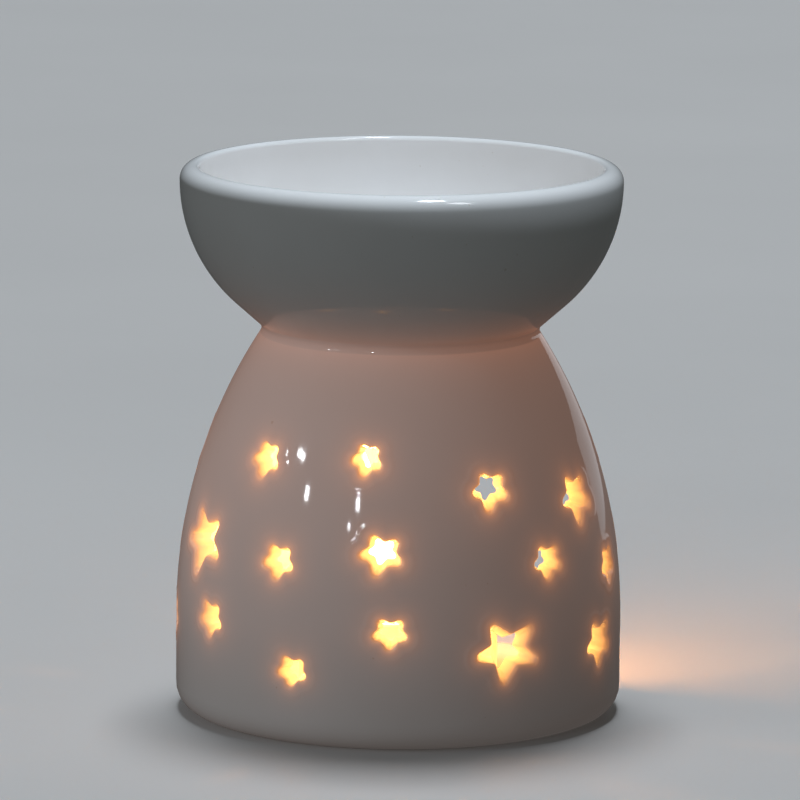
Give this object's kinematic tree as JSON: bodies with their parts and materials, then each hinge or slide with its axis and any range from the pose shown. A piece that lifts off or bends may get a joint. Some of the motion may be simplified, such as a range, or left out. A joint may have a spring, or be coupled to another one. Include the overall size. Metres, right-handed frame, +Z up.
{
  "type": "tealight holder",
  "caption": "Ceramic tealight holder: a hollow bell-shaped lantern pierced with stars, open at the back, with a shallow warming dish on its neck and a tealight inside.",
  "frame": {"origin": "centre of the foot ring, on the table plane", "axes": "+Z up; +Y out of the doorway that the tealight goes through, so -Y is the closed front"},
  "size_m": [0.085, 0.085, 0.105],
  "materials": {
    "glazed_body": "clear gloss glaze over white earthenware",
    "glazed_dish": "clear gloss glaze over white earthenware",
    "glazed_seam": "clear gloss glaze pooled in the crease",
    "cup_foil": "thin pressed foil, satin",
    "wax": "white paraffin, soft sheen, melted pool on top",
    "wick_cord": "braided cotton, charred at the tip",
    "tab_steel": "tinned steel tab"
  },
  "bodies": {
    "holder": {"lantern_body": "glazed_body", "oil_dish": "glazed_dish", "slip_seam": "glazed_seam"},
    "cup": {"tealight_cup": "cup_foil"},
    "candle": {"wax": "wax", "wick": "wick_cord", "wick_tab": "tab_steel"}
  },
  "joints": [
    {"name": "tealight_slide", "type": "slide", "parent": "holder", "child": "cup", "axis": [0, 1, 0], "range_m": [0, 0.07]},
    {"name": "candle_lift", "type": "slide", "parent": "cup", "child": "candle", "axis": [0, 0, 1], "range_m": [0, 0.018]}
  ]
}
